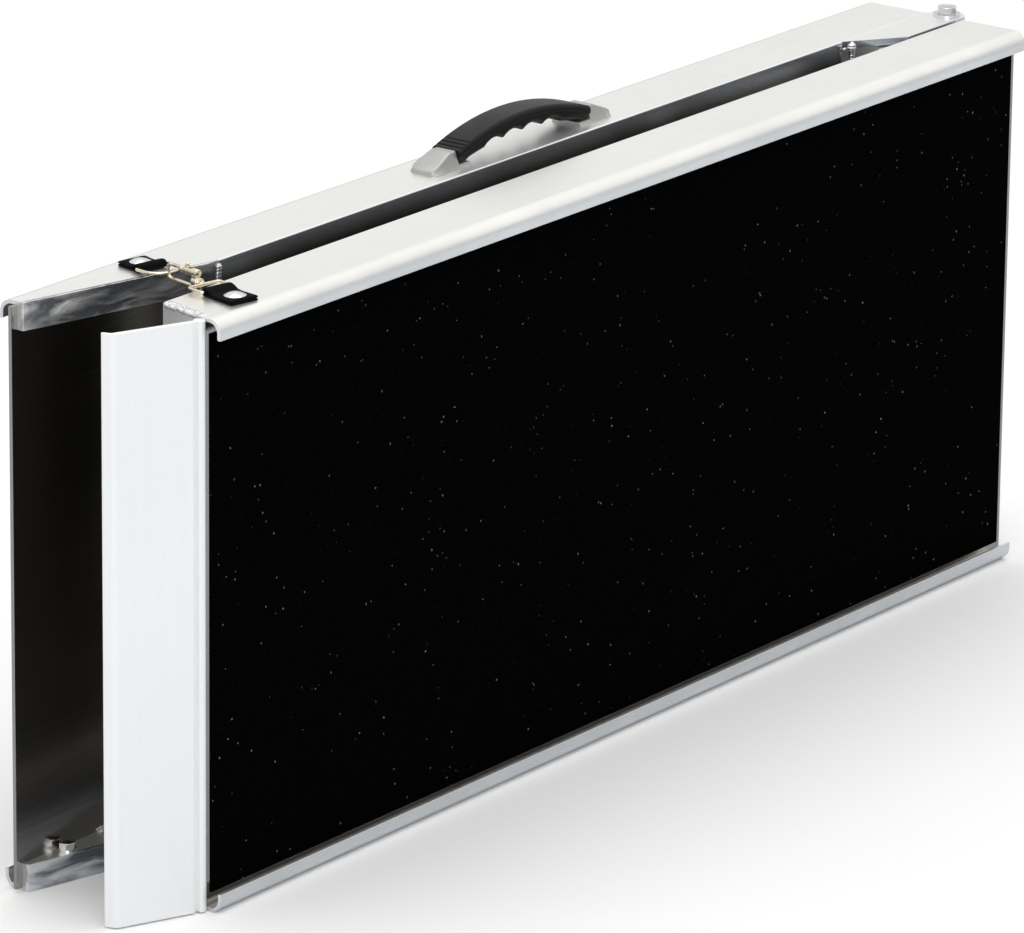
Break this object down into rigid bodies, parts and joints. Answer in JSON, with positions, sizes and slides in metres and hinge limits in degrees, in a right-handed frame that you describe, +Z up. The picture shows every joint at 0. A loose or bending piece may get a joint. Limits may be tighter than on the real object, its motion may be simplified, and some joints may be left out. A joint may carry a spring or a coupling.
{
  "type": "portable wheelchair ramp",
  "caption": "Portable aluminium wheelchair ramp that folds in half like a suitcase, with gritted decks, curbed side rails, a hinged lip plate, a carrying handle and a strap clip.",
  "frame": {"origin": "middle of the folded ramp's base, on the floor it stands on", "axes": "+X along the folded ramp towards the hinge, +Y through its thickness from the front half to the rear half, +Z up across the ramp's width"},
  "size_m": [0.9998, 0.142, 0.425],
  "materials": {
    "rail_aluminium": "satin extruded aluminium",
    "deck_aluminium": "bright mill-finish sheet",
    "polished_aluminium": "polished",
    "lip_aluminium": "satin extruded aluminium",
    "weld_metal": "bright weld bead",
    "grit": "rough abrasive coating",
    "grip_plastic": "satin moulded",
    "cap_silver": "satin silver",
    "webbing": "woven webbing",
    "snap_metal": "nickel plated, warm",
    "zinc_steel": "bright zinc plated",
    "spacer_nylon": "natural nylon"
  },
  "bodies": {
    "front_half": {"front_rail_top": "rail_aluminium", "front_rail_bottom": "rail_aluminium", "front_deck": "deck_aluminium", "front_grit_surface": "grit", "front_deck_welds": "weld_metal", "front_stiffener_1": "rail_aluminium", "front_stiffener_2": "rail_aluminium", "front_stiffener_3": "rail_aluminium", "front_hinge_beam": "rail_aluminium", "front_end_beam": "rail_aluminium", "front_end_cap_top": "rail_aluminium", "front_end_cap_bottom": "rail_aluminium", "front_end_welds": "weld_metal", "front_hinge_plate_top": "rail_aluminium", "front_hinge_plate_bottom": "rail_aluminium", "front_hinge_welds": "weld_metal", "pivot_bolt_top": "zinc_steel", "pivot_screw_bottom": "zinc_steel", "pivot_spacers": "spacer_nylon", "pivot_washers": "zinc_steel", "pivot_lock_nuts": "zinc_steel", "lip_socket": "lip_aluminium", "front_strap": "webbing", "front_strap_rivet": "zinc_steel"},
    "rear_half": {"rear_rail_top": "rail_aluminium", "rear_rail_bottom": "rail_aluminium", "rear_taper_plate_top": "polished_aluminium", "rear_taper_plate_bottom": "polished_aluminium", "rear_taper_welds": "weld_metal", "rear_deck": "deck_aluminium", "rear_grit_surface": "grit", "rear_deck_welds": "weld_metal", "rear_stiffener_1": "rail_aluminium", "rear_stiffener_2": "rail_aluminium", "rear_stiffener_3": "rail_aluminium", "rear_hinge_beam": "rail_aluminium", "rear_hinge_plate_top": "rail_aluminium", "rear_hinge_plate_bottom": "rail_aluminium", "rear_hinge_welds": "weld_metal", "rear_stud_bolt": "zinc_steel", "rear_stud_washer": "zinc_steel", "handle_cap_left": "cap_silver", "handle_cap_right": "cap_silver", "handle_grip": "grip_plastic", "handle_core": "zinc_steel", "handle_screws": "zinc_steel", "rear_strap": "webbing", "rear_strap_rivet": "zinc_steel"},
    "lip": {"lip_plate": "lip_aluminium"},
    "clip_loop": {"snap_swivel_loop": "snap_metal"},
    "snap_hook": {"snap_hook_body": "snap_metal", "snap_spring": "zinc_steel"},
    "snap_trigger": {"snap_bolt": "snap_metal"},
    "keeper": {"keeper_ring": "snap_metal"}
  },
  "joints": [
    {"name": "fold", "type": "hinge", "parent": "front_half", "child": "rear_half", "pos_m": [0.48694, 0, 0.2], "axis": [0, 0, -1], "range_deg": [0, 180]},
    {"name": "lip_tilt", "type": "hinge", "parent": "front_half", "child": "lip", "pos_m": [-0.43936, -0.057, 0.2], "axis": [0, 0, 1], "range_deg": [-30, 30]},
    {"name": "clip_swing", "type": "hinge", "parent": "front_half", "child": "clip_loop", "pos_m": [-0.38932, -0.03139, 0.4029], "axis": [0.9781, -0.2079, 0], "range_deg": [0, 80]},
    {"name": "clip_swivel", "type": "hinge", "parent": "clip_loop", "child": "snap_hook", "pos_m": [-0.38579, -0.01477, 0.4029], "axis": [0.2079, 0.9781, 0], "range_deg": [-15, 15]},
    {"name": "clip_trigger", "type": "slide", "parent": "snap_hook", "child": "snap_trigger", "axis": [-0.2079, -0.9781, 0], "range_m": [0, 0.0045], "stiffness_N_per_m": 250, "springref_m": -0.002},
    {"name": "keeper_swing", "type": "hinge", "parent": "rear_half", "child": "keeper", "pos_m": [-0.37529, 0.03463, 0.4029], "axis": [-0.9781, 0.2079, 0], "range_deg": [0, 8]}
  ]
}
